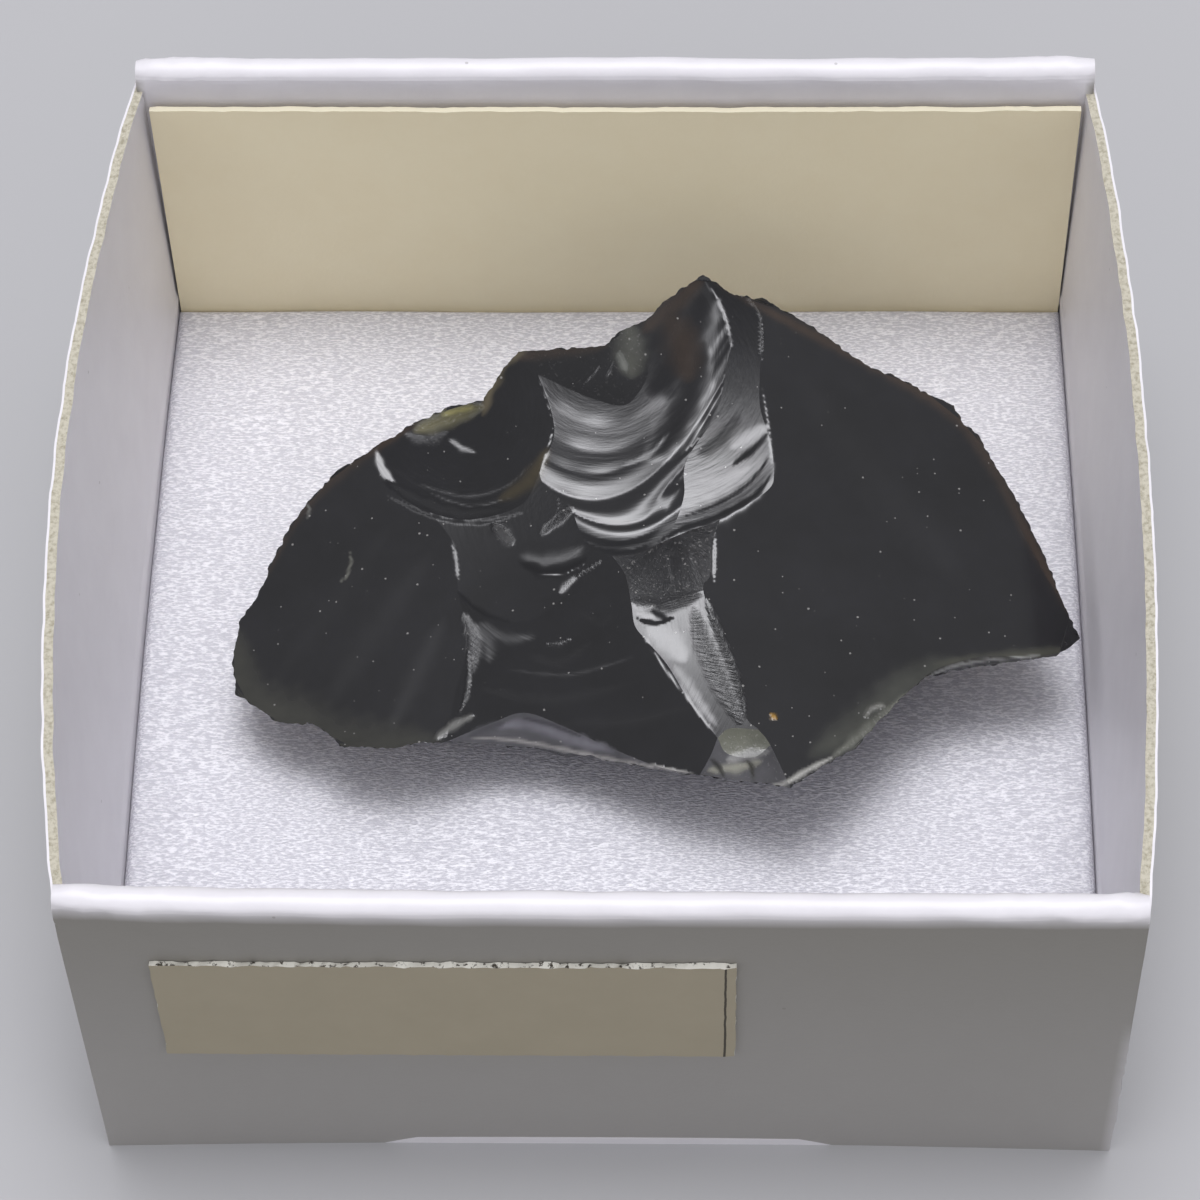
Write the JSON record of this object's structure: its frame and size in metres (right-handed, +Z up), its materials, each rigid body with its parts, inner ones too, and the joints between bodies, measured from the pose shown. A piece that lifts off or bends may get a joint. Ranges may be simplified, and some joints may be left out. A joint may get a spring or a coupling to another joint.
{
  "type": "obsidian chunk in a small collector's box",
  "caption": "Knapped black obsidian chunk lying on a white foam pad in a small open card box with a blank card and a blank sticker.",
  "frame": {"origin": "on the surface that the box stands on, under the middle of the whole part", "axes": "+Z up, +Y towards the wall with the card, +X to the right as the sticker is read"},
  "size_m": [0.043, 0.0414, 0.0194],
  "materials": {
    "obsidian": "polished",
    "coated_card": "satin",
    "foam": "matte",
    "cream_paper": "matte",
    "sticker_paper": "matte"
  },
  "bodies": {
    "root": {"obsidian_chunk": "obsidian", "tray": "coated_card", "foam_pad": "foam", "back_card": "cream_paper", "front_sticker": "sticker_paper"}
  },
  "joints": []
}
